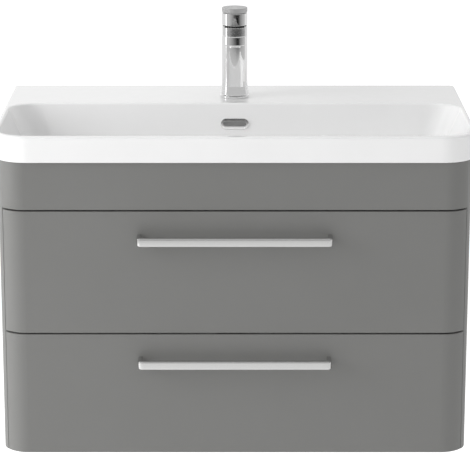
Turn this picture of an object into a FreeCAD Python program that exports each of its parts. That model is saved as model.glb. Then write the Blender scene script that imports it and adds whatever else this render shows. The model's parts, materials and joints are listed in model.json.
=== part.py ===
import FreeCAD, Part
import math
import os

# Wall-hung bathroom vanity: a two-drawer cabinet under a ceramic basin, with a
# mixer tap, waste and bottle trap. Units mm. x=0 is the centre line, y=0 the
# wall, the front faces -y, and z=0 is the underside of the cabinet.

os.makedirs("parts", exist_ok=True)
V = FreeCAD.Vector

# ---- overall sizes ---------------------------------------------------------
cabinet_width = 796.0
cabinet_height = 511.0
cabinet_depth = 448.0
corner_radius = 45.0
basin_overhang = 7.0
basin_width = cabinet_width + 2 * basin_overhang
basin_depth = cabinet_depth + basin_overhang
basin_skirt = 44.0

# ---- boards ----------------------------------------------------------------
side_board = 18.0
front_board = 18.0
fascia_board = 20.0
board = 16.0
front_gap = 2.5
slab_easing = 1.2
fascia_height = 82.0
rail_height = 60.0
rail_setback = 16.0

half_width = cabinet_width / 2
inner_x = half_width - side_board
carcass_front = -cabinet_depth + fascia_board
fronts_back = -cabinet_depth + front_board
fascia_bottom = cabinet_height - fascia_height
front_height = (fascia_bottom - 2 * front_gap) / 2
upper_front_bottom = front_height + front_gap

# ---- basin -----------------------------------------------------------------
rim_z = cabinet_height + basin_skirt
side_rim = 8.0
front_rim = 13.0
ledge_depth = 168.0
bowl_depth = 103.0
bowl_slope = 8.0
bowl_wall = 9.0
skirt_wall = 20.0
deck = 14.0
side_lean = math.tan(math.radians(25))
front_lean = math.tan(math.radians(32))
back_lean_angle = 12.0
back_lean = math.tan(math.radians(back_lean_angle))
waste_y = -283.0
tap_y = -108.0
tap_hole_r = 17.5
floor_top = rim_z - bowl_depth - bowl_slope
floor_under = floor_top - bowl_wall

# ---- waste and trap heights ---------------------------------------------------
tail_bottom = floor_top - 85.0
trap_z = (tail_bottom - 144.0, tail_bottom - 44.0)
outlet_z = tail_bottom - 69.0
outlet_free = 60.0

# ---- drawers and runners ---------------------------------------------------
drawer_board = 16.0
bottom_board = 8.0
bottom_lift = 10.0
drawer_back_y = -60.0
runner_space = 12.7
runner_length = 350.0
runner_height = 45.0
runner_sheet = 1.2
runner_front = carcass_front + 4.0
drawer_x = inner_x - runner_space
drawer_inner_x = drawer_x - drawer_board
upper_box = (upper_front_bottom + 25.5, upper_front_bottom + 145.5)
lower_box = (30.0, min(front_height - 31.75, trap_z[0] - 35.0))
runner_rise = 45.0
notch_half = 73.0
notch_front = -333.0
surround_wall = 3.0

# ---- handles ---------------------------------------------------------------
handle_length = 328.0
handle_tall = 15.0
handle_thick = 8.0
handle_reach = 30.0
handle_drop = 46.5
handle_radius = 8.0
handle_round = 2.6
screw_r = 2.0

# ---- small helpers ---------------------------------------------------------
def save(name, shape):
    shape = shape.removeSplitter()
    if shape.ShapeType != "Solid":
        shape = shape.Solids[0] if len(shape.Solids) == 1 else shape
    shape.exportStep("parts/" + name + ".step")
    print(name, shape.isValid(), len(shape.Solids), round(shape.Volume / 1000, 1))


def box(x0, x1, y0, y1, z0, z1):
    return Part.makeBox(x1 - x0, y1 - y0, z1 - z0, V(x0, y0, z0))


def rod(radius, z0, z1, x=0.0, y=0.0):
    return Part.makeCylinder(radius, z1 - z0, V(x, y, z0))


def rod_y(radius, y0, y1, x, z):
    return Part.makeCylinder(radius, y1 - y0, V(x, y0, z), V(0, 1, 0))


def ring(outer, inner, z0, z1, x=0.0, y=0.0):
    return rod(outer, z0, z1, x, y).cut(rod(inner, z0 - 1, z1 + 1, x, y))


def arc(centre, radius, start):
    angles = [math.radians(start + step) for step in (0, 45, 90)]
    points = [centre + V(radius * math.cos(a), radius * math.sin(a), 0) for a in angles]
    return Part.Arc(*points).toShape()


def plan_wire(half, front, back, front_r, back_r, z):
    """A rounded rectangle seen from above, even about x=0."""
    centres = [
        (V(half - front_r, front + front_r, z), front_r, 270),
        (V(half - back_r, back - back_r, z), back_r, 0),
        (V(-half + back_r, back - back_r, z), back_r, 90),
        (V(-half + front_r, front + front_r, z), front_r, 180),
    ]
    arcs = [arc(*item) for item in centres]
    edges = []
    for index, edge in enumerate(arcs):
        following = arcs[(index + 1) % 4]
        edges.append(edge)
        edges.append(Part.makeLine(edge.Vertexes[-1].Point, following.Vertexes[0].Point))
    return Part.Wire(edges)


def prism(wire, height):
    return Part.Face(wire).extrude(V(0, 0, height))


def fillet(shape, radius, chosen):
    edges = [edge for edge in shape.Edges if chosen(edge)]
    return shape.makeFillet(radius, edges)


def flat_at(edge, z):
    bounds = edge.BoundBox
    return abs(bounds.ZMin - z) < 1e-4 and abs(bounds.ZMax - z) < 1e-4


def centre_of(edge):
    bounds = edge.BoundBox
    return bounds.Center


def mirror_x(shape):
    return shape.mirror(V(0, 0, 0), V(1, 0, 0))


def save_pair(name, right_shape):
    save(name + "_right", right_shape)
    save(name + "_left", mirror_x(right_shape))


def outline(z0, z1):
    """The cabinet's rounded-front outline as a solid."""
    wire = plan_wire(half_width, -cabinet_depth, 0, corner_radius, 0.5, z0)
    return prism(wire, z1 - z0)


# ---- carcass ---------------------------------------------------------------
def make_side_panel():
    slab = outline(0, cabinet_height)
    slab = slab.common(box(inner_x, half_width, carcass_front, 0, 0, cabinet_height))
    relief = box(inner_x - 1, inner_x + 8, carcass_front + 22, -160, cabinet_height - 20, cabinet_height + 1)
    return slab.cut(relief)


def front_slab(thickness, z0, z1):
    """A slab as wide as the outline, its outer edges eased before it is cut to thickness."""
    slab = outline(z0, z1)
    slab = fillet(slab, slab_easing, lambda e: (flat_at(e, z0) or flat_at(e, z1)) and e.BoundBox.YMin < -100)
    limits = box(-half_width, half_width, -cabinet_depth, -cabinet_depth + thickness, z0, z1)
    return slab.common(limits)


def make_carcass():
    save_pair("side_panel", make_side_panel())
    save("bottom_panel", box(-inner_x, inner_x, carcass_front, 0, 0, board))
    save("top_fascia", front_slab(fascia_board, fascia_bottom, cabinet_height))
    stretcher_top = fascia_bottom + 50
    save(
        "front_stretcher",
        box(-inner_x, inner_x, carcass_front, carcass_front + board, fascia_bottom, stretcher_top),
    )
    rail_back = -rail_setback
    rail_top = cabinet_height - 66
    save(
        "rear_top_rail",
        box(-inner_x, inner_x, rail_back - board, rail_back, rail_top - rail_height, rail_top),
    )
    save(
        "rear_bottom_rail",
        box(-inner_x, inner_x, rail_back - board, rail_back, board, board + rail_height),
    )


# ---- wall hangers ----------------------------------------------------------
hook_z = cabinet_height - 26
hanger_x = (inner_x - 18, inner_x)
plate_x = (inner_x - 32, inner_x - 2)


def make_hangers():
    body = box(hanger_x[0], hanger_x[1], -70, -16, hook_z - 33, hook_z + 15)
    tongue = box(hanger_x[0] + 3, hanger_x[1] - 5, -16, -5, hook_z, hook_z + 4)
    lip = box(hanger_x[0] + 3, hanger_x[1] - 5, -8, -5, hook_z - 8, hook_z)
    save_pair("hanger", body.fuse([tongue, lip]))
    base = box(plate_x[0], plate_x[1], -3, 0, hook_z - 70, hook_z + 16)
    shelf = box(plate_x[0], plate_x[1], -12, -3, hook_z - 15, hook_z - 12)
    upstand = box(plate_x[0], plate_x[1], -12, -9, hook_z - 12, hook_z)
    plate = base.fuse([shelf, upstand])
    for z in (hook_z - 55, hook_z - 30):
        plate = plate.cut(rod_y(3.25, -5, 1, sum(plate_x) / 2, z))
    save_pair("wall_plate", plate)


# ---- basin -----------------------------------------------------------------
def bowl_solid(grow, top_z, extra_depth):
    """The bowl's hollow, or its outside when it is grown by the wall."""
    rise = top_z - rim_z
    half = basin_width / 2 - side_rim
    front = -basin_depth + front_rim
    back = -ledge_depth
    floor_z = rim_z - bowl_depth
    low_half = half - side_lean * bowl_depth
    low_front = front + front_lean * bowl_depth
    low_back = back - back_lean * bowl_depth
    upper = plan_wire(
        half + side_lean * rise + grow,
        front - front_lean * rise - grow,
        back + back_lean * rise + grow,
        52 + grow,
        52 + grow,
        top_z,
    )
    foot_z = floor_z - extra_depth
    lower = plan_wire(low_half + grow, low_front - grow, low_back + grow, 40 + grow, 40 + grow, foot_z)
    walls = Part.makeLoft([upper, lower], True, True)
    walls = fillet(walls, 24.0 + grow, lambda e: flat_at(e, foot_z))
    inset = 34.0
    around = plan_wire(low_half - inset, low_front + inset - 6, low_back - inset + 6, 14, 14, foot_z)
    waste = plan_wire(50 + grow, waste_y - 50 - grow, waste_y + 50 + grow, 30, 30, foot_z - bowl_slope)
    dish = Part.makeLoft([around, waste], True, True)
    return walls.fuse(dish)


overflow_drop = 36.0
overflow_size = (25.0, 9.8)


def obround(half_length, half_height, depth0, depth1):
    """A rounded slot standing in the x-z plane, depth along y."""
    straight = half_length - half_height
    bar = box(-straight, straight, depth0, depth1, -half_height, half_height)
    ends = [rod_y(half_height, depth0, depth1, x, 0) for x in (-straight, straight)]
    return bar.fuse(ends).removeSplitter()


def on_back_wall(shape):
    """Lean a shape with the bowl's back wall and set it at the overflow."""
    shape.rotate(V(0, 0, 0), V(1, 0, 0), -back_lean_angle)
    shape.translate(V(0, -ledge_depth - back_lean * overflow_drop, rim_z - overflow_drop))
    return shape


def make_basin():
    wire = plan_wire(basin_width / 2, -basin_depth, 0, 60, 10, cabinet_height)
    skirt = prism(wire, basin_skirt)
    wall = skirt_wall
    hollow = prism(
        plan_wire(basin_width / 2 - wall, -basin_depth + wall + 3, -wall, 42, 6, cabinet_height - 1),
        basin_skirt - deck + 1,
    )
    bowl = bowl_solid(bowl_wall, rim_z - 4, bowl_wall)
    boss = ring(26, 23.5, floor_under - 3, floor_under + 2, 0, waste_y)
    casing = on_back_wall(box(-30, 30, 4, 34, -17, 15))
    basin = skirt.cut(hollow).fuse([bowl, boss, casing])
    basin = basin.cut(bowl_solid(0.0, rim_z, 0.0))
    basin = basin.cut(rod(23, floor_under - 10, rim_z, 0, waste_y))
    basin = basin.cut(rod(33, floor_top - 2.5, rim_z, 0, waste_y))
    basin = basin.cut(rod(tap_hole_r, cabinet_height - 1, rim_z + 1, 0, tap_y))
    basin = basin.cut(on_back_wall(obround(20.5, 4.65, -6, 26)))
    basin = basin.removeSplitter()
    rim = [e for e in basin.Edges if flat_at(e, rim_z) and e.BoundBox.DiagonalLength > 1]
    rim = [e for e in rim if abs(centre_of(e).y - tap_y) > 20 or abs(centre_of(e).x) > 60]
    basin = basin.makeFillet(3.6, rim)
    low = [e for e in basin.Edges if flat_at(e, cabinet_height)]
    low = [e for e in low if on_skirt(e)]
    basin = basin.makeFillet(2.0, low)
    save("basin", basin)


def on_skirt(edge):
    """Whether an edge runs along the skirt's outer foot."""
    half = basin_width / 2
    for vertex in edge.Vertexes:
        x = abs(vertex.Point.x)
        y = vertex.Point.y
        outside = x > half - 0.01 or y < -basin_depth + 0.01 or y > -0.01
        if not outside:
            return False
    return True


def make_overflow_ring():
    plate = obround(overflow_size[0], overflow_size[1], -2.4, 0)
    slot = obround(20.5, 4.65, -5, 2)
    plate = fillet(plate, 1.2, lambda e: abs(e.BoundBox.YMax + 2.4) < 1e-4)
    save("overflow_ring", on_back_wall(plate.cut(slot)))


# ---- waste and trap --------------------------------------------------------
def make_waste():
    flange = ring(32.5, 18, floor_top - 2.5, floor_top + 0.5, 0, waste_y)
    tube = ring(22.5, 18, tail_bottom, floor_top - 2.5, 0, waste_y)
    cross = box(-18.5, 18.5, waste_y - 2, waste_y + 2, floor_top - 44, floor_top - 38)
    cross = cross.cut(rod(4.4, floor_top - 50, floor_top, 0, waste_y))
    hub = ring(7.5, 4.4, floor_top - 44, floor_top - 38, 0, waste_y)
    save("waste_body", flange.fuse([tube, cross, hub]))
    seat = floor_under - 3
    save("waste_washer", ring(34, 22.6, seat - 4, seat, 0, waste_y))
    save("waste_nut", ring(34, 22.55, seat - 16, seat - 4, 0, waste_y))
    dome = rod(29, floor_top + 2.5, floor_top + 7, 0, waste_y)
    dome = fillet(dome, 2.2, lambda e: flat_at(e, floor_top + 7))
    stem = rod(4, floor_top - 52, floor_top + 3, 0, waste_y)
    save("waste_plug", dome.fuse(stem))


def make_trap():
    body = rod(32, trap_z[0], trap_z[1], 0, waste_y)
    body = fillet(body, 5, lambda e: flat_at(e, trap_z[0]) or flat_at(e, trap_z[1]))
    neck = rod(22.5, trap_z[1] - 6, tail_bottom, 0, waste_y)
    spigot = rod_y(20, waste_y + 20, waste_y + 50, 0, outlet_z)
    body = body.fuse([neck, spigot])
    body = body.cut(rod(29, trap_z[0] + 3, trap_z[1] - 6, 0, waste_y))
    body = body.cut(rod(18, trap_z[1] - 8, tail_bottom + 1, 0, waste_y))
    body = body.cut(rod_y(16.05, waste_y + 25, waste_y + 51, 0, outlet_z))
    save("trap_body", body)
    save("trap_inlet_nut", ring(28, 22.55, tail_bottom - 14, tail_bottom + 12, 0, waste_y))
    bead = rod_y(17.5, -outlet_free - 6, -outlet_free, 0, outlet_z)
    pipe = rod_y(16, waste_y + 36, 0, 0, outlet_z).fuse(bead)
    pipe = pipe.cut(rod_y(14, waste_y + 30, 1, 0, outlet_z))
    save("trap_outlet_pipe", pipe)


# ---- tap -------------------------------------------------------------------
tap_r = 22.9
spout_top = rim_z + 129.3
spout_thick = 16.5
spout_half = 22.25
spout_reach = 125.0
aerator_y = tap_y - 104.0


def make_tap():
    base = ring(25.8, 15.05, rim_z, rim_z + 6.5, 0, tap_y)
    base = fillet(base, 1.0, lambda e: flat_at(e, rim_z + 6.5) and e.BoundBox.XLength > 45)
    save("tap_base_ring", base)
    foot = rim_z + 6.5
    flare = Part.makeCone(25.2, tap_r, 21.5, V(0, tap_y, foot))
    column = rod(tap_r, foot + 21, spout_top, 0, tap_y)
    tip_y = tap_y - spout_reach + spout_half
    spout = box(-spout_half, spout_half, tip_y, tap_y, spout_top - spout_thick, spout_top)
    spout = spout.fuse(rod(spout_half, spout_top - spout_thick, spout_top, 0, tip_y)).removeSplitter()
    spout = fillet(spout, 1.2, lambda e: abs(e.BoundBox.ZLength) < 1e-4 and e.BoundBox.YMax < tap_y + 0.01)
    shank = rod(15, rim_z - 75, foot, 0, tap_y)
    body = flare.fuse([column, spout, shank]).removeSplitter()
    body = body.cut(rod(11, rim_z - 76, rim_z + 90, 0, tap_y))
    body = body.cut(rod(17.05, rim_z + 95, spout_top + 1, 0, tap_y))
    body = body.cut(rod_y(5, aerator_y, tap_y, 0, spout_top - 9))
    body = body.cut(rod(8.05, spout_top - spout_thick - 1, spout_top - 6, 0, aerator_y))
    save("tap_body", body)
    underside = spout_top - spout_thick
    flow = ring(10, 6.5, underside - 5, underside, 0, aerator_y)
    insert = ring(8, 6.5, underside - 5, underside + 5, 0, aerator_y)
    mesh = rod(7, underside - 2, underside, 0, aerator_y)
    save("tap_aerator", flow.fuse([insert, mesh]))
    cartridge = rod(17, rim_z + 95, spout_top, 0, tap_y)
    cartridge = cartridge.fuse([rod(15, spout_top - 1, rim_z + 140, 0, tap_y), rod(5, rim_z + 139, rim_z + 149, 0, tap_y)])
    save("tap_cartridge", cartridge)
    grip = rod(22.8, rim_z + 131, rim_z + 152.5, 0, tap_y)
    grip = fillet(grip, 0.6, lambda e: e.BoundBox.ZLength < 1e-4)
    grip = grip.cut(rod(15.5, rim_z + 130, rim_z + 141, 0, tap_y))
    grip = grip.cut(rod(5.4, rim_z + 140, rim_z + 150, 0, tap_y))
    save("tap_handle", grip)
    cap = rod(22.8, rim_z + 154, rim_z + 162, 0, tap_y)
    cap = fillet(cap, 0.7, lambda e: e.BoundBox.ZLength < 1e-4)
    cap = cap.fuse(rod(20.5, rim_z + 152.5, rim_z + 155, 0, tap_y))
    save("tap_cap", cap)
    under_deck = rim_z - deck
    save("tap_nut", ring(27, 15.05, under_deck - 12, under_deck, 0, tap_y))


# ---- runners ---------------------------------------------------------------
def channel(near, far, half_height, z, web_near):
    """A runner member on the right: near and far are distances from the side panel."""
    y0 = runner_front
    y1 = runner_front + runner_length
    solid = box(inner_x - far, inner_x - near, y0, y1, z - half_height, z + half_height)
    inside = half_height - runner_sheet
    if web_near:
        hollow = box(inner_x - far - 1, inner_x - near - runner_sheet, y0 - 1, y1 + 1, z - inside, z + inside)
    else:
        hollow = box(inner_x - far + runner_sheet, inner_x - near + 1, y0 - 1, y1 + 1, z - inside, z + inside)
    return solid.cut(hollow)


def make_runners(level, z):
    save_pair(level + "_runner_outer", channel(0, 9, runner_height / 2, z, True))
    save_pair(level + "_runner_middle", channel(2.2, 10, runner_height / 2 - 4.5, z, True))
    save_pair(level + "_runner_inner", channel(4.6, runner_space, runner_height / 2 - 9, z, False))


# ---- drawers ---------------------------------------------------------------
def on_handle_outside(edge, half, reach):
    """Whether an edge runs along the bar's outer side, legs included."""
    middle = edge.valueAt((edge.FirstParameter + edge.LastParameter) / 2)
    corner_x = half - handle_radius
    corner_y = reach + handle_radius
    if abs(middle.x) > half - 0.01 or middle.y < reach + 0.01:
        return True
    away = math.hypot(abs(middle.x) - corner_x, middle.y - corner_y)
    return abs(middle.x) > corner_x and middle.y < corner_y and abs(away - handle_radius) < 0.01


def make_handle(level, z):
    """A bent flat bar on two legs, with its screws through the front."""
    face = -cabinet_depth
    reach = face - handle_reach
    half = handle_length / 2
    wire = plan_wire(half, reach, face + 20, handle_radius, 0.5, z - handle_tall / 2)
    bar = prism(wire, handle_tall).common(box(-half, half, reach, face, z - 50, z + 50))
    wire = plan_wire(half - handle_thick, reach + handle_thick, face + 20, 2, 0.5, z - 20)
    bar = bar.cut(prism(wire, 40))
    bar = fillet(bar, handle_round, lambda e: e.BoundBox.ZLength < 1e-4 and on_handle_outside(e, half, reach))
    leg_x = half - handle_thick / 2
    for x in (-leg_x, leg_x):
        bar = bar.cut(rod_y(screw_r + 0.05, face - 12, face + 1, x, z))
    save(level + "_handle", bar)
    shank = rod_y(screw_r, face - 11, fronts_back, leg_x, z)
    head = rod_y(4.5, fronts_back, fronts_back + 2.5, leg_x, z)
    save_pair(level + "_handle_screw", shank.fuse(head))
    return leg_x


def make_front(level, z0):
    z1 = z0 + front_height
    handle_z = z1 - handle_drop
    slab = front_slab(front_board, z0, z1)
    leg_x = make_handle(level, handle_z)
    for x in (-leg_x, leg_x):
        slab = slab.cut(rod_y(screw_r + 0.25, -cabinet_depth - 1, fronts_back + 1, x, handle_z))
    save(level + "_front", slab)


def make_drawer_box(level, span, notched):
    z0, z1 = span
    panel = box(drawer_inner_x, drawer_x, fronts_back, drawer_back_y, z0, z1)
    save_pair(level + "_side", panel)
    floor_z = z0 + bottom_lift
    floor_top_z = floor_z + bottom_board
    base = box(-drawer_inner_x, drawer_inner_x, fronts_back, drawer_back_y, floor_z, floor_top_z)
    back_y = drawer_back_y - drawer_board
    back_top = z1 - 12
    if not notched:
        save(level + "_bottom", base)
        back = box(-drawer_inner_x, drawer_inner_x, back_y, drawer_back_y, floor_top_z, back_top)
        save(level + "_back", back)
        return
    notch = plan_wire(notch_half, notch_front, drawer_back_y + 30, 20, 0.5, floor_z - 1)
    save(level + "_bottom", base.cut(prism(notch, 50)))
    save_pair(level + "_back", box(notch_half, drawer_inner_x, back_y, drawer_back_y, floor_top_z, back_top))
    outer = plan_wire(notch_half, notch_front, drawer_back_y + 30, 20, 0.5, floor_z)
    inside = notch_half - surround_wall
    inner = plan_wire(inside, notch_front + surround_wall, drawer_back_y + 30, 17, 0.5, floor_z - 1)
    surround = prism(outer, back_top - floor_z).cut(prism(inner, back_top))
    limits = box(-notch_half, notch_half, notch_front, drawer_back_y, 0, cabinet_height)
    save(level + "_trap_surround", surround.common(limits))


make_carcass()
make_hangers()
make_basin()
make_overflow_ring()
make_waste()
make_trap()
make_tap()
for level, span, front_z, notched in (
    ("upper", upper_box, upper_front_bottom, True),
    ("lower", lower_box, 0.0, False),
):
    make_runners(level, span[0] + runner_rise)
    make_front(level, front_z)
    make_drawer_box(level, span, notched)
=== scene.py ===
import json
import math

import bmesh
import bpy
from mathutils import Matrix, Vector


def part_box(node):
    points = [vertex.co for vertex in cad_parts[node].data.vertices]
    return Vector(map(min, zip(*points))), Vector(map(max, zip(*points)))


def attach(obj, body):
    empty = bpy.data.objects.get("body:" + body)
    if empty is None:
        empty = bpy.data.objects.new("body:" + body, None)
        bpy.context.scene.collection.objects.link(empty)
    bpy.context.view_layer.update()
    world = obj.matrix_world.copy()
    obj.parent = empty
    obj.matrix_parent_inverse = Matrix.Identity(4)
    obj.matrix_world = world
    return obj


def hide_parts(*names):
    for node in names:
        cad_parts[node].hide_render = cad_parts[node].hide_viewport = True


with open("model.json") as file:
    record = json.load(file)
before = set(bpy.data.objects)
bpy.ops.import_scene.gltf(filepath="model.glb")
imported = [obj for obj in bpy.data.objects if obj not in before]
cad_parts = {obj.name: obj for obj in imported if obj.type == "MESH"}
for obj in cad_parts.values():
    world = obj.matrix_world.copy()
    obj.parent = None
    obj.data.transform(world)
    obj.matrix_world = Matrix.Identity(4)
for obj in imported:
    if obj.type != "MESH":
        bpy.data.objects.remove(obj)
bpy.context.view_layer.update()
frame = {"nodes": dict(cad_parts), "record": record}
nodes = frame["nodes"]

# ---- what the frame says, in metres -------------------------------------------------
MM = 0.001
RIM_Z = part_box("basin")[1].z
TAP_Y = (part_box("tap_base_ring")[0].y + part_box("tap_base_ring")[1].y) / 2
LEVELS = ("upper", "lower")
SIDES = (("right", 1), ("left", -1))
slots = {item["node"]: item["material_slot"] for item in frame["record"]["subparts"]}


# ---- shader helpers -----------------------------------------------------------------
class Tree:
    """Short calls that add nodes to a shader node tree."""

    def __init__(self, tree):
        self.tree = tree

    def node(self, kind, **settings):
        made = self.tree.nodes.new(kind)
        for key, value in settings.items():
            setattr(made, key, value)
        return made

    def link(self, source, target):
        self.tree.links.new(source, target)

    def coordinates(self, scale=(1, 1, 1), shift=(0, 0, 0)):
        place = self.node("ShaderNodeTexCoord")
        mapping = self.node("ShaderNodeMapping")
        mapping.inputs["Scale"].default_value = scale
        mapping.inputs["Location"].default_value = shift
        self.link(place.outputs["Object"], mapping.inputs["Vector"])
        return mapping.outputs["Vector"]

    def axes(self, output="Object"):
        """The x, y and z sockets of a texture coordinate."""
        place = self.node("ShaderNodeTexCoord")
        split = self.node("ShaderNodeSeparateXYZ")
        self.link(place.outputs[output], split.inputs["Vector"])
        return [split.outputs[axis] for axis in "XYZ"]

    def noise(self, scale, detail=3.0, roughness=0.55, stretch=(1, 1, 1)):
        made = self.node("ShaderNodeTexNoise")
        made.inputs["Scale"].default_value = scale
        made.inputs["Detail"].default_value = detail
        made.inputs["Roughness"].default_value = roughness
        self.link(self.coordinates(stretch), made.inputs["Vector"])
        return made.outputs["Fac"]

    def remap(self, value, low, high, from_low=0.3, from_high=0.7):
        """A linear change of range; a noise's values lie mostly between 0.3 and 0.7."""
        made = self.node("ShaderNodeMapRange")
        for key, number in (
            ("From Min", from_low), ("From Max", from_high), ("To Min", low), ("To Max", high)
        ):
            made.inputs[key].default_value = number
        self.link(value, made.inputs["Value"])
        return made.outputs["Result"]

    def math(self, operation, first, second=None):
        made = self.node("ShaderNodeMath", operation=operation)
        for socket, value in zip(made.inputs, (first, second)):
            if value is None:
                continue
            if isinstance(value, (int, float)):
                socket.default_value = value
            else:
                self.link(value, socket)
        return made.outputs["Value"]

    def mix(self, factor, first, second):
        made = self.node("ShaderNodeMix", data_type="RGBA")
        self.link(factor, made.inputs["Factor"])
        made.inputs["A"].default_value = (*first, 1)
        made.inputs["B"].default_value = (*second, 1)
        return made.outputs["Result"]

    def bump(self, height, distance, strength):
        made = self.node("ShaderNodeBump")
        made.inputs["Strength"].default_value = strength
        made.inputs["Distance"].default_value = distance
        self.link(height, made.inputs["Height"])
        return made.outputs["Normal"]

    def smooth_step(self, value, low, high):
        """0 below low and 1 above high, with a soft change between."""
        made = self.node("ShaderNodeMapRange", interpolation_type="SMOOTHSTEP")
        made.inputs["From Min"].default_value = low
        made.inputs["From Max"].default_value = high
        self.link(value, made.inputs["Value"])
        return made.outputs["Result"]

    def hump(self, value, centre, inner, outer):
        """1 within inner of the centre, falling smoothly to 0 at outer."""
        off = self.math("ABSOLUTE", self.math("SUBTRACT", value, centre))
        return self.math("SUBTRACT", 1.0, self.smooth_step(off, inner, outer))

    def less(self, level, amount, share):
        """level x (1 - share x amount)"""
        kept = self.math("SUBTRACT", 1.0, self.math("MULTIPLY", amount, share))
        return self.math("MULTIPLY", level, kept)

    def seen_by_camera(self):
        return self.node("ShaderNodeLightPath").outputs["Is Camera Ray"]


class Shader(Tree):
    """A new material on one Principled BSDF."""

    def __init__(self, name):
        self.material = bpy.data.materials.new(name)
        self.material.use_nodes = True
        super().__init__(self.material.node_tree)
        self.bsdf = self.tree.nodes["Principled BSDF"]

    def set(self, **values):
        names = {
            "metal": "Metallic", "rough": "Roughness", "spec": "Specular IOR Level",
            "coat": "Coat Weight", "coat_rough": "Coat Roughness", "aniso": "Anisotropic",
        }
        for key, value in values.items():
            self.bsdf.inputs[names[key]].default_value = value

    def finish(self, color=None, rough=None, normal=None):
        for socket, value in (("Base Color", color), ("Roughness", rough), ("Normal", normal)):
            if value is not None:
                self.link(value, self.bsdf.inputs[socket])
        return self.material


def grey(level, warm=0.0):
    """A linear grey; warm is the share of blue taken away."""
    return (level, level, level * (1 - warm))


def lacquer(name, level, rough):
    """Sprayed satin lacquer: even colour, faint cloudiness, very fine orange peel."""
    s = Shader(name)
    s.set(spec=0.5)
    cloud = s.noise(5.0, 4.0)
    color = s.mix(s.remap(cloud, 0, 1), grey(level * 0.985, 0.035), grey(level * 1.015, 0.03))
    smear = s.remap(s.noise(18.0, 5.0), rough - 0.03, rough + 0.03)
    peel = s.bump(s.noise(420.0, 2.0), 0.00006, 0.35)
    return s.finish(color, smear, peel)


def melamine(name, level):
    """Melamine board: pale grey with a faint woven print and a fine surface grain."""
    s = Shader(name)
    s.set(spec=0.4)
    thread = s.noise(900.0, 2.0, 0.6, stretch=(1, 0.12, 1))
    cloud = s.noise(9.0, 4.0)
    tone = s.math("ADD", s.remap(thread, 0.0, 0.6), s.remap(cloud, 0.0, 0.4))
    color = s.mix(tone, grey(level * 0.96, 0.02), grey(level * 1.02, 0.015))
    normal = s.bump(thread, 0.00008, 0.3)
    return s.finish(color, s.remap(cloud, 0.42, 0.52), normal)


def glaze(name):
    """Glazed ceramic: white body under a hard glossy glaze with a slow waviness."""
    s = Shader(name)
    s.set(spec=0.5, coat=0.6, coat_rough=0.03)
    pool = s.noise(7.0, 3.0)
    color = s.mix(s.remap(pool, 0, 1), (0.865, 0.865, 0.865), (0.885, 0.885, 0.885))
    wave = s.bump(s.noise(16.0, 2.0), 0.0006, 0.18)
    return s.finish(color, s.remap(s.noise(60.0, 4.0), 0.1, 0.16), wave)


def polished(name, level=0.88, rough=0.05):
    """Plated metal: mirror bright with faint wiping marks in the gloss."""
    s = Shader(name)
    s.set(metal=1.0)
    wipe = s.noise(220.0, 4.0, 0.6, stretch=(1, 1, 0.15))
    color = s.mix(s.remap(wipe, 0, 1), grey(level * 0.985), grey(level))
    wave = s.bump(s.noise(40.0, 1.0), 0.0002, 0.05)
    return s.finish(color, s.remap(wipe, rough * 0.7, rough * 1.3), wave)


def satin_metal(name, level, rough, stretch=(0.02, 1, 1), grain=0.00004):
    """Fine brushed metal whose grain runs along x unless another stretch is given."""
    s = Shader(name)
    s.set(metal=1.0, aniso=0.3)
    line = s.noise(2600.0, 3.0, 0.6, stretch)
    color = s.mix(s.remap(line, 0, 1), grey(level * 0.93, 0.01), grey(level, 0.01))
    normal = s.bump(line, grain, 0.5)
    return s.finish(color, s.remap(line, rough - 0.05, rough + 0.06), normal)


def knurled(name, level, rough, centre_y, ridges=72):
    """Satin metal with upright ridges all round a turned piece; its colour is darkened in the
    troughs between the ridges as painted shade.
    """
    s = Shader(name)
    s.set(metal=1.0)
    place = s.node("ShaderNodeSeparateXYZ")
    s.link(s.coordinates((1, 1, 1), (0, -centre_y, 0)), place.inputs["Vector"])
    angle = s.math("ARCTAN2", place.outputs["Y"], place.outputs["X"])
    ridge = s.math("SINE", s.math("MULTIPLY", angle, float(ridges)))
    grain = s.noise(1800.0, 3.0)
    # painted shade: the colour falls to 0.7 of the level in the troughs between the ridges, where
    # shade would fall
    color = s.mix(s.remap(ridge, 0, 1, -1, 1), grey(level * 0.7), grey(level))
    normal = s.bump(ridge, 0.0002, 0.6)
    return s.finish(color, s.remap(grain, rough - 0.04, rough + 0.05), normal)


def plastic(name, color, rough):
    """Moulded plastic with a fine spark-eroded texture."""
    s = Shader(name)
    s.set(spec=0.45)
    grain = s.noise(1400.0, 2.0)
    tone = s.mix(s.remap(s.noise(12.0), 0, 1), tuple(c * 0.96 for c in color), color)
    gloss = s.remap(grain, rough - 0.05, rough + 0.05)
    return s.finish(tone, gloss, s.bump(grain, 0.00006, 0.4))


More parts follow.
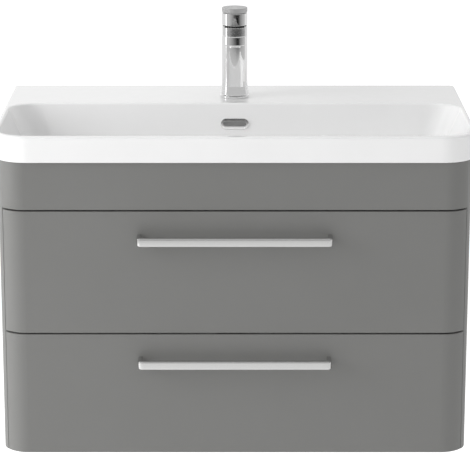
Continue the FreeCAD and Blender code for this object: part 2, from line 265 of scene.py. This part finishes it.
# ---- materials on the CAD nodes ---------------------------------------------------
FINISHES = {
    "front_lacquer": lacquer("front_lacquer_satin", 0.182, 0.42),
    "side_lacquer": lacquer("side_lacquer_satin", 0.182, 0.42),
    "carcass_board": melamine("carcass_melamine", 0.62),
    "drawer_board": melamine("drawer_melamine", 0.66),
    "surround_plastic": plastic("surround_moulding", (0.6, 0.6, 0.6), 0.5),
    "handle_metal": satin_metal("handle_satin_nickel", 0.66, 0.15, grain=0.00001),
    "runner_steel": satin_metal("runner_zinc", 0.52, 0.26, (1, 0.02, 1)),
    "zinc_steel": satin_metal("zinc_plate", 0.68, 0.34, (1, 1, 0.05)),
    "hanger_metal": plastic("hanger_paint", (0.72, 0.72, 0.7), 0.4),
    "basin_ceramic": glaze("basin_glaze"),
    "washer_rubber": plastic("washer_rubber_black", (0.03, 0.03, 0.03), 0.7),
    "nut_plastic": plastic("nut_white", (0.7, 0.7, 0.69), 0.45),
    "tap_brass": satin_metal("raw_brass", 0.6, 0.35),
    "cartridge_plastic": plastic("cartridge_grey", (0.5, 0.5, 0.5), 0.5),
    "trap_chrome": polished("trap_plating", 0.86, 0.07),
    "cap_satin": knurled("cap_knurl", 0.67, 0.36, TAP_Y),
    "chrome": polished("tap_plating", 0.88, 0.05),
}
for name, obj in nodes.items():
    obj.data.materials.clear()
    obj.data.materials.append(FINISHES[slots[name]])


# ---- mesh helpers --------------------------------------------------------------------
HOLD = 0.2      # how far beyond a rounding, as a share of it, a loop keeps the flat flat
MOST_CUT = 0.4  # a rounding takes at most this share of an edge


def new_piece(name, bm, slot, body, stands_for=(), sharp=38):
    """Turns a bmesh into a shown piece that rides on a body."""
    bmesh.ops.remove_doubles(bm, verts=bm.verts, dist=1e-6)
    bmesh.ops.recalc_face_normals(bm, faces=bm.faces)
    mesh = bpy.data.meshes.new(name)
    bm.to_mesh(mesh)
    bm.free()
    mesh.shade_smooth()
    mesh.set_sharp_from_angle(angle=math.radians(sharp))
    obj = bpy.data.objects.new(name, mesh)
    bpy.context.collection.objects.link(obj)
    mesh.materials.append(FINISHES[slot])
    if stands_for:
        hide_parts(*stands_for)
    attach(obj, body)
    return obj


def rings_to_solid(bm, rings):
    """Joins rings of points one after another and closes both ends."""
    loops = [[bm.verts.new(point) for point in ring] for ring in rings]
    for first, second in zip(loops, loops[1:]):
        for i in range(len(first)):
            j = (i + 1) % len(first)
            bm.faces.new((first[i], first[j], second[j], second[i]))
    bm.faces.new(loops[0])
    bm.faces.new(loops[-1])


def around(segments):
    """The angles of that many even steps round a circle."""
    return [2 * math.pi * i / segments for i in range(segments)]


def lathe(bm, profile, segments=128):
    """Spins (radius, height) points about the tap's upright axis."""
    turn = around(segments)
    rings = []
    for radius, z in profile:
        rings.append([(radius * math.cos(t), TAP_Y + radius * math.sin(t), z) for t in turn])
    rings_to_solid(bm, rings)


def eased(points, radius, steps=4):
    """Rounds a (radius, height) profile's corners, but not its ends, and keeps its flats flat."""
    out = [points[0]]
    for before, here, after in zip(points, points[1:], points[2:]):
        a, b, c = Vector(before), Vector(here), Vector(after)
        into, away = (a - b), (c - b)
        cut = min(radius, into.length * MOST_CUT, away.length * MOST_CUT)
        start, end = b + into.normalized() * cut, b + away.normalized() * cut
        out.append(tuple(start + into.normalized() * cut * HOLD))
        for i in range(steps + 1):
            t = i / steps
            point = start * (1 - t) ** 2 + b * 2 * t * (1 - t) + end * t ** 2
            out.append((point.x, point.y))
        out.append(tuple(end + away.normalized() * cut * HOLD))
    out.append(points[-1])
    return out


# ---- plumbing and turned parts --------------------------------------------------------
TURNED_SLOTS = ("chrome", "trap_chrome", "tap_brass", "washer_rubber", "nut_plastic")
SHELLED = ("tap_body", "tap_base_ring", "tap_handle", "tap_cap")    # make_tap draws these


def smooth_copy(node, body, slot):
    """The CAD node's own shape, welded and smooth over its curves, with crisp edges kept."""
    bm = bmesh.new()
    bm.from_mesh(nodes[node].data)
    piece = new_piece(node + "_smooth", bm, slot, body, [node], sharp=40)
    even = piece.modifiers.new("even_normals", "WEIGHTED_NORMAL")
    even.keep_sharp = True
    even.weight = 100


# ---- small fittings --------------------------------------------------------------------
SHEET = 1.2 * MM        # thickness of the rails' steel
BALL, BALLS = 1.5 * MM, 12          # a bearing ball's radius, and how many a strip holds
STRIP_FROM, STRIP_TO = 6 * MM, 170 * MM     # along the middle rail, from its front end
TRACK_IN = 0.8 * MM     # the balls' line, inwards of the middle rail's own middle
# A pan head's rings, from its rim to its top: shares of its radius and of its height.
HEAD = ((1.0, 0.0), (1.0, 0.45), (0.86, 0.8), (0.6, 0.95), (0.56, 0.97), (0.2, 1.0))


def placed(place, direction):
    """Turns a local point (x, y along the face, z out of it) into its place on the object."""
    turn = Vector(direction).to_track_quat("Z", "Y")
    return lambda x, y, z: Vector(place) + turn @ Vector((x, y, z))


def screw_head(bm, place, direction, radius, height, segments=32):
    """A pan head with a sunk cross recess, its flat side on the given place."""
    to_world = placed(place, direction)
    quarter = segments // 4
    rings = []
    for share, lift in HEAD:
        ring = []
        for i, t in enumerate(around(segments)):
            in_cross = share < 0.6 and i % quarter in (0, 1, quarter - 1)
            drop = 0.6 if in_cross or share < 0.3 else 0.0
            out = radius * share
            ring.append(to_world(out * math.cos(t), out * math.sin(t), height * (lift - drop)))
        rings.append(ring)
    rings_to_solid(bm, rings)


def rivet(bm, place, direction, radius, height, segments=20, steps=6):
    """A low dome that stops half a step short of its pole, which leaves a small flat."""
    to_world = placed(place, direction)
    rings = []
    for i in range(steps):
        t = math.pi / 2 * i / (steps - 0.5)
        r, z = radius * math.cos(t), height * math.sin(t)
        rings.append([to_world(r * math.cos(a), r * math.sin(a), z) for a in around(segments)])
    rings_to_solid(bm, rings)


def ball_row(bm, x, z, first, last):
    """Bearing balls held in a thin strip along a runner."""
    for i in range(BALLS):
        y = first + (last - first) * (i + 0.5) / BALLS
        place = Matrix.Translation((x, y, z))
        bmesh.ops.create_icosphere(bm, subdivisions=2, radius=BALL, matrix=place)
    wide, thin, chamfer = 0.8 * MM, 0.3 * MM, 0.15 * MM
    rings = []
    for y, inset in ((first, chamfer), (first + chamfer, 0), (last - chamfer, 0), (last, chamfer)):
        a, b = wide - inset, thin - inset
        rings.append([(x - a, y, z - b), (x + a, y, z - b), (x + a, y, z + b), (x - a, y, z + b)])
    rings_to_solid(bm, rings)


def along(low, high, shares):
    """The places at those shares of the way from low to high."""
    return [low + (high - low) * share for share in shares]


def make_runner_fittings(level, side, out):
    """Screws on the drawer's rail, rivets and ball strips on the middle rail.

    out is +1 at the right and -1 at the left, the way from the drawer to the side panel.
    """
    low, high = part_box(level + "_runner_inner_" + side)
    near_x = (low.x if out > 0 else high.x) + out * SHEET
    mid_z = (low.z + high.z) / 2
    bm = bmesh.new()
    for y in along(low.y, high.y, (0.1, 0.5, 0.92)):
        screw_head(bm, (near_x, y, mid_z), (out, 0, 0), 3.6 * MM, 1.6 * MM)
    new_piece(level + "_rail_screws_" + side, bm, "zinc_steel", level + "_drawer")
    inner_half = (high.z - low.z) / 2

    middle = level + "_runner_middle_" + side
    low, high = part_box(middle)
    outer_x = high.x if out > 0 else low.x
    half = (high.z - low.z) / 2
    bm = bmesh.new()
    for y in along(low.y, high.y, (0.06, 0.35, 0.65, 0.94)):
        rivet(bm, (outer_x, y, mid_z), (out, 0, 0), 3.2 * MM, 0.6 * MM)
    between = (inner_half + half - SHEET) / 2
    ball_x = (low.x + high.x) / 2 - out * TRACK_IN
    for z in (mid_z - between, mid_z + between):
        ball_row(bm, ball_x, z, low.y + STRIP_FROM, low.y + STRIP_TO)
    new_piece(level + "_rail_bearings_" + side, bm, "zinc_steel", middle)


def make_drawer_screws(level):
    """Low-headed screws that hold the drawer's back between its sides."""
    bm = bmesh.new()
    for side, out in SIDES:
        low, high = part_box(level + "_side_" + side)
        face = high.x if out > 0 else low.x
        for z in along(low.z, high.z, (0.28, 0.8)):
            screw_head(bm, (face, high.y - 8 * MM, z), (out, 0, 0), 3.8 * MM, 0.7 * MM)
    new_piece(level + "_box_screws", bm, "zinc_steel", level + "_drawer")


def make_hanger_screws():
    """Two adjusting screws on each hanger's front and three that fix it to the side panel."""
    bm = bmesh.new()
    for side, out in SIDES:
        low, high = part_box("hanger_" + side)
        mid_x = (low.x + high.x) / 2
        for z in along(low.z, high.z, (0.28, 0.72)):
            screw_head(bm, (mid_x, low.y, z), (0, -1, 0), 4.5 * MM, 2.2 * MM)
        face = low.x if out > 0 else high.x
        for y, z in ((0.25, 0.2), (0.25, 0.8), (0.62, 0.5)):
            place = (face, low.y + (high.y - low.y) * y, low.z + (high.z - low.z) * z)
            screw_head(bm, place, (-out, 0, 0), 3.6 * MM, 1.8 * MM)
    new_piece("hanger_screws", bm, "zinc_steel", "carcass")


for level in LEVELS:
    make_drawer_screws(level)
    for side, out in SIDES:
        make_runner_fittings(level, side, out)
make_hanger_screws()


# ---- mixer tap --------------------------------------------------------------------------
CARTRIDGE_TOP, SPOUT_TOP, BASE_TALL = 149 * MM, 129.3 * MM, 6.5 * MM    # over the basin's rim
SPOUT_TALL, SPOUT_WIDE, SPOUT_EDGE = 16.5 * MM, 44.5 * MM, 1.3 * MM     # the edge's rounding
GROOVE = 2.2 * MM       # the dark line between the base ring and the column


def obround(half, tip, back, z, segments=40):
    """Points round a slab whose front end is a half circle, seen from above."""
    centre_y = tip + half
    arc = [math.pi + math.pi * i / segments for i in range(segments + 1)]
    points = [(half * math.cos(t), centre_y + half * math.sin(t), z) for t in arc]
    return points + [(half, back, z), (-half, back, z)]


def slab_profile(low, high, radius, steps=5):
    """(inset, height) pairs up the side of a slab with rounded rims and flat faces."""
    turns = [math.pi / 2 * i / steps for i in range(steps + 1)]
    side = [(radius * (1 - math.sin(t)), radius * (1 - math.cos(t))) for t in turns]
    side = [(radius * (1 + HOLD), 0.0)] + side + [(0.0, radius * (1 + HOLD))]
    return [(inset, low + lift) for inset, lift in side] + [
        (inset, high - lift) for inset, lift in reversed(side)]


def turned_shell(profile, radius, name, slot, body, node):
    """A turned piece with rounded corners that stands for a CAD node."""
    bm = bmesh.new()
    lathe(bm, eased(profile, radius))
    new_piece(name, bm, slot, body, [node])


def make_tap():
    """Column, slab spout, base ring, grip and cap; the radii are in metres."""
    shank_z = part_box("tap_body")[0].z
    spout_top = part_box("tap_cartridge")[1].z - CARTRIDGE_TOP + SPOUT_TOP
    spout_low = spout_top - SPOUT_TALL
    foot = RIM_Z + BASE_TALL

    bm = bmesh.new()
    column = [
        (0.011, shank_z), (0.015, shank_z), (0.015, foot - 1 * MM), (0.015, foot), (0.0252, foot),
        (0.0249, foot + 2 * MM), (0.0240, foot + 8 * MM), (0.0233, foot + 15 * MM),
        (0.0229, foot + 24 * MM), (0.0229, spout_top), (0.0171, spout_top),
    ]
    lathe(bm, eased(column, 0.0007))
    half = SPOUT_WIDE / 2
    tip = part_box("tap_body")[0].y
    rings = []
    for inset, z in slab_profile(spout_low, spout_top, SPOUT_EDGE):
        rings.append(obround(half - inset, tip + inset, TAP_Y, z))
    rings_to_solid(bm, rings)
    new_piece("tap_body_shell", bm, "chrome", "carcass", ["tap_body"])

    low = RIM_Z + 0.02 * MM
    groove = foot - GROOVE
    base = [
        (0.0151, low), (0.0258, low), (0.0258, groove), (0.0216, groove), (0.0216, foot),
        (0.0151, foot),
    ]
    turned_shell(base, 0.0011, "tap_base_shell", "chrome", "carcass", "tap_base_ring")

    low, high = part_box("tap_handle")
    grip = [(0.0156, low.z), (0.0228, low.z), (0.0228, high.z), (0.0030, high.z)]
    turned_shell(grip, 0.0007, "tap_handle_shell", "chrome", "tap_handle", "tap_handle")

    low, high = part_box("tap_cap")
    cap = [
        (0.0030, low.z), (0.0205, low.z), (0.0205, low.z + 1.5 * MM), (0.0228, low.z + 1.5 * MM),
        (0.0228, high.z), (0.0030, high.z),
    ]
    turned_shell(cap, 0.0008, "tap_cap_shell", "cap_satin", "tap_handle", "tap_cap")


# ---- drawer handles -----------------------------------------------------------------------
BAR_THICK, BAR_BEND = 8 * MM, 8 * MM
BAR_OUTER, BAR_INNER = 2.6 * MM, 0.7 * MM       # roundings of the bar's section
BEND_STEPS = 12


def handle_section(tall, thick, outer, inner, steps=6):
    """(depth from the outer side, height) points round the bar's section."""
    corners = [
        (outer, tall / 2 - outer, outer, 90, 180),
        (outer, -tall / 2 + outer, outer, 180, 270),
        (thick - inner, -tall / 2 + inner, inner, 270, 360),
        (thick - inner, tall / 2 - inner, inner, 0, 90),
    ]
    points = []
    for depth, height, radius, start, stop in corners:
        for i in range(steps + 1):
            t = math.radians(start + (stop - start) * i / steps)
            points.append((depth + radius * math.cos(t), height + radius * math.sin(t)))
    return points


def make_handle(level):
    """A bar of one section swept out of the front, along it and back in, with bent corners."""
    node = level + "_handle"
    low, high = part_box(node)
    half, reach, face = high.x, low.y, high.y
    mid_z = (low.z + high.z) / 2
    section = handle_section(high.z - low.z, BAR_THICK, BAR_OUTER, BAR_INNER)
    centre_x, centre_y = -half + BAR_BEND, reach + BAR_BEND
    stations = [((-half, face), (1, 0))]
    for i in range(BEND_STEPS + 1):
        t = math.pi / 2 * i / BEND_STEPS
        x, y = -math.cos(t), -math.sin(t)
        stations.append(((centre_x + BAR_BEND * x, centre_y + BAR_BEND * y), (-x, -y)))
    stations += [((-x, y), (-nx, ny)) for (x, y), (nx, ny) in reversed(stations)]
    bm = bmesh.new()
    rings = []
    for (x, y), (nx, ny) in stations:
        rings.append([(x + nx * depth, y + ny * depth, mid_z + height) for depth, height in section])
    rings_to_solid(bm, rings)
    new_piece(level + "_handle_bar", bm, "handle_metal", level + "_drawer", [node])


for body, members in frame["record"]["behaviour"]["bodies"].items():
    for node in members:
        if slots[node] in TURNED_SLOTS and node not in SHELLED:
            smooth_copy(node, body, slots[node])
make_tap()
for level in LEVELS:
    make_handle(level)


# ---- stage, light and camera --------------------------------------------------------
FLOOR_Z = -0.45
FLOOR_WIDE = 80
CARD_LEVEL = 0.55                       # the front card where nothing darkens it
ROOM_LEVEL, ROOM_SEEN = 0.73, 1.05      # what lights the object, and what the eye sees
PHOTO_WIDE = 470.0                      # pixels


def make_floor():
    """White paper that glows a little, more so to the eye, so that it fades into the room."""
    mesh = bpy.data.meshes.new("studio_floor")
    bm = bmesh.new()
    bmesh.ops.create_grid(bm, x_segments=8, y_segments=8, size=0.5)
    bm.to_mesh(mesh)
    bm.free()
    floor = bpy.data.objects.new("studio_floor", mesh)
    bpy.context.collection.objects.link(floor)
    floor.location = (0, 0, FLOOR_Z)
    floor.scale = (FLOOR_WIDE, FLOOR_WIDE, 1)
    s = Shader("studio_paper")
    s.set(rough=0.9, spec=0.1)
    color = s.mix(s.remap(s.noise(1.5), 0, 1), grey(0.93), grey(0.95))
    s.bsdf.inputs["Emission Color"].default_value = (1, 1, 1, 1)
    glow = s.math("ADD", 0.115, s.math("MULTIPLY", s.seen_by_camera(), 0.35))
    s.link(glow, s.bsdf.inputs["Emission Strength"])
    floor.data.materials.append(s.finish(color))


def reflection_only(card):
    """Only glossy reflections see the card: plated metal above all, and the gloss of the rest."""
    for part in ("camera", "diffuse", "shadow", "transmission", "volume_scatter"):
        setattr(card, "visible_" + part, False)


def glow_from(s, level):
    """Turns the material into plain light of that level."""
    glow = s.node("ShaderNodeEmission")
    s.link(level, glow.inputs["Strength"])
    s.link(glow.outputs["Emission"], s.tree.nodes["Material Output"].inputs["Surface"])
    return s.material


def curved_card(name, radius, first, last, low, high, steps=60):
    """An upright strip bent round the tap; angles run from straight ahead towards +X."""
    mesh = bpy.data.meshes.new(name)
    bm = bmesh.new()
    columns = []
    for i in range(steps + 1):
        t = math.radians(first + (last - first) * i / steps)
        x, y = radius * math.sin(t), TAP_Y - radius * math.cos(t)
        columns.append([bm.verts.new((x, y, z)) for z in (low, high)])
    for left, right in zip(columns, columns[1:]):
        bm.faces.new((left[0], right[0], right[1], left[1]))
    bm.to_mesh(mesh)
    bm.free()
    card = bpy.data.objects.new(name, mesh)
    bpy.context.collection.objects.link(card)
    reflection_only(card)
    return card


def make_front_card():
    """A dark room in front of the object.

    The tap's upright walls mirror its lowest part, where a dark stripe stands a little to the
    right; the basin's overflow ring mirrors the light band; the spout's top mirrors the room.
    """
    card = curved_card("front_card", radius=3.0, first=-76, last=104, low=0.02, high=2.4)
    s = Shader("front_card_tones")
    x, y, height = s.axes()
    turn = s.math("ARCTAN2", x, s.math("SUBTRACT", TAP_Y, y))
    angle = s.math("MULTIPLY", turn, 180 / math.pi)

    neck = s.hump(height, centre=0.22, inner=0.055, outer=0.145)
    wide = s.math("MULTIPLY", s.hump(angle, centre=20.0, inner=0.0, outer=90.0), neck)
    stripe = s.math("MULTIPLY", s.hump(angle, centre=27.0, inner=2.0, outer=26.0), neck)
    grip = s.hump(height, centre=0.225, inner=0.02, outer=0.055)
    shade = s.math("MULTIPLY", s.hump(angle, centre=8.0, inner=4.0, outer=28.0), grip)
    level = s.less(CARD_LEVEL, wide, 0.77)
    level = s.less(level, stripe, 0.85)
    level = s.less(level, shade, 0.6)

    band = s.hump(height, centre=1.05, inner=0.06, outer=0.09)
    level = s.math("ADD", level, s.math("MULTIPLY", band, 0.58))

    room = s.smooth_step(height, 1.13, 1.18)
    mottle = s.remap(s.noise(2.5, 3.0), 0.25, 0.45)
    ahead = s.hump(angle, centre=20.0, inner=15.0, outer=90.0)
    level = s.less(level, room, mottle)
    level = s.less(level, s.math("MULTIPLY", room, ahead), 0.82)
    card.data.materials.append(glow_from(s, level))


def make_side_strip():
    """A bright upright strip at the left, weaker where the tap's column mirrors it."""
    low = FLOOR_Z + 0.3
    strip = curved_card("side_strip", radius=2.8, first=-86, last=-79, low=low, high=1.4, steps=6)
    s = Shader("side_strip_tone")
    height = s.axes()[2]
    bright = s.remap(s.noise(1.2, 1.0), 1.6, 1.9)
    level = s.math("MULTIPLY", bright, s.smooth_step(height, 0.14, 0.2))
    strip.data.materials.append(glow_from(s, s.math("ADD", level, 0.8)))


def area_light(name, place, aim, size, power):
    """A soft box at a place, turned to face its aim."""
    data = bpy.data.lights.new(name, "AREA")
    data.shape = "RECTANGLE"
    data.size, data.size_y = size
    data.energy = power
    light = bpy.data.objects.new(name, data)
    bpy.context.collection.objects.link(light)
    light.location = place
    light.rotation_mode = "QUATERNION"
    light.rotation_quaternion = (Vector(aim) - Vector(place)).to_track_quat("-Z", "Y")
    return light


def make_world():
    """A white room: brighter behind the object, more so on its left; plain white to the eye."""
    world = bpy.data.worlds.new("studio")
    bpy.context.scene.world = world
    world.use_nodes = True
    s = Tree(world.node_tree)
    x, y, z = s.axes("Generated")
    behind = s.smooth_step(y, 0.55, 0.85)
    low = s.math("SUBTRACT", 1.0, s.smooth_step(z, 0.42, 0.68))
    leftward = s.math("SUBTRACT", 1.0, s.smooth_step(x, -0.03, 0.05))
    boost = s.math("ADD", 0.085, s.math("MULTIPLY", leftward, 0.16))
    boost = s.math("MULTIPLY", boost, s.math("MULTIPLY", behind, low))
    lit = s.math("ADD", boost, ROOM_LEVEL)
    seen = s.seen_by_camera()
    plain = s.math("MULTIPLY", seen, ROOM_SEEN)
    level = s.math("ADD", plain, s.math("MULTIPLY", lit, s.math("SUBTRACT", 1.0, seen)))
    back = s.tree.nodes["Background"]
    back.inputs["Color"].default_value = (1, 1, 1, 1)
    s.link(level, back.inputs["Strength"])


def make_camera(place, pitch, focal_px, shift_px):
    """Looks along +Y and down by pitch degrees; focal length and shift are in pixels."""
    data = bpy.data.cameras.new("camera")
    camera = bpy.data.objects.new("camera", data)
    bpy.context.collection.objects.link(camera)
    data.sensor_width = 36.0
    data.lens = focal_px * data.sensor_width / PHOTO_WIDE
    data.shift_x = shift_px / PHOTO_WIDE
    data.clip_start, data.clip_end = 0.05, 200.0
    camera.location = place
    camera.rotation_euler = (math.radians(90 - pitch), 0, 0)
    bpy.context.scene.camera = camera


make_floor()
make_front_card()
make_side_strip()
make_world()
area_light("key_left", (-3.2, -1.6, 1.6), aim=(0, -0.2, 0.4), size=(1.6, 2.6), power=36)
fill = area_light("side_left", (-2.4, -0.9, 0.9), aim=(0, -0.3, 0.35), size=(1.0, 1.8), power=27)
fill.visible_glossy = False
make_camera((0.0, -4.095, 1.343), pitch=14.70, focal_px=2252.0, shift_px=0.3)

view = bpy.context.scene.view_settings
view.view_transform = "Standard"
view.look = "None"
